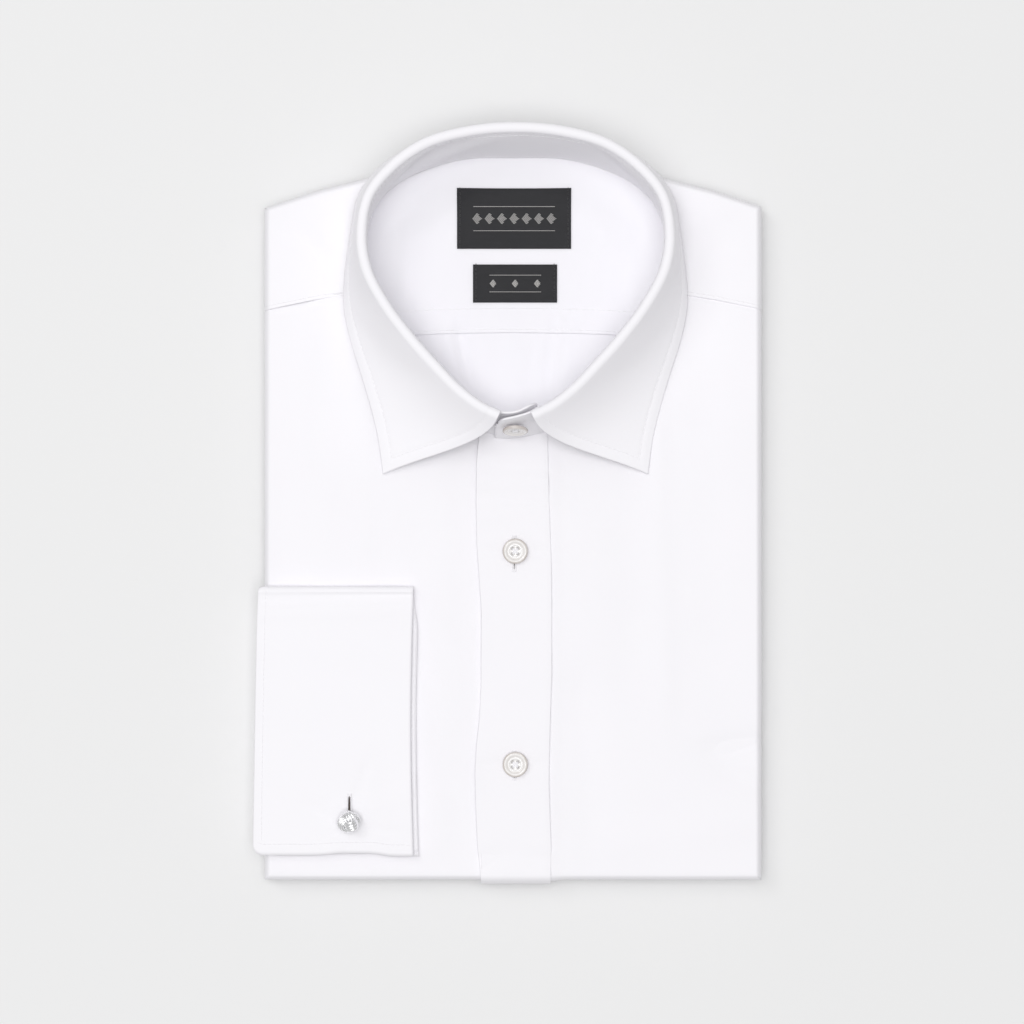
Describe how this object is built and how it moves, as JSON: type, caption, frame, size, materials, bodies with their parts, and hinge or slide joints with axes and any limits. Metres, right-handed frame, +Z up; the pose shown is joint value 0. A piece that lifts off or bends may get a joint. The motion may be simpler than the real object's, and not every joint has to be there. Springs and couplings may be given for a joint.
{
  "type": "long sleeve dress shirt, folded",
  "caption": "Folded white dress shirt lying on its back: standing collar, buttoned placket, woven labels, one double cuff turned to the front with a knot cufflink.",
  "frame": {"origin": "on the flat underside, straight below the front centre line, half way up the folded body", "axes": "+Y from the hem fold to the collar, +Z up out of the shirt's front, +X towards the wearer's left side"},
  "size_m": [0.2294, 0.3429, 0.056],
  "materials": {
    "poplin": "fine plain-woven white cotton poplin, matt with a faint sheen",
    "collar_cloth": "white poplin fused to interlining, smooth, topstitched 5 mm in",
    "inside_cloth": "inside face of the white poplin, matt",
    "cuff_cloth": "white poplin double cuff, lightly fused, topstitched",
    "black_tape": "black woven label satin with a plain woven ornament in pale thread",
    "pearl": "pearly translucent button, polished",
    "silver": "polished silver-coloured metal strands"
  },
  "bodies": {
    "root": {"folded_layers": "poplin", "front_right": "poplin", "front_left": "poplin", "placket": "poplin", "yoke_outer": "poplin", "yoke_inner": "inside_cloth", "back_panel": "inside_cloth", "label_main": "black_tape", "label_size": "black_tape", "collar_stand": "collar_cloth", "collar_leaf": "collar_cloth", "button_collar": "pearl", "button_front_1": "pearl", "button_front_2": "pearl", "cuff_turnback": "cuff_cloth", "cuff_inner": "cuff_cloth", "sleeve_right": "poplin", "cufflink_knot": "silver", "cufflink_post": "silver", "cufflink_toggle": "silver"}
  },
  "joints": []
}
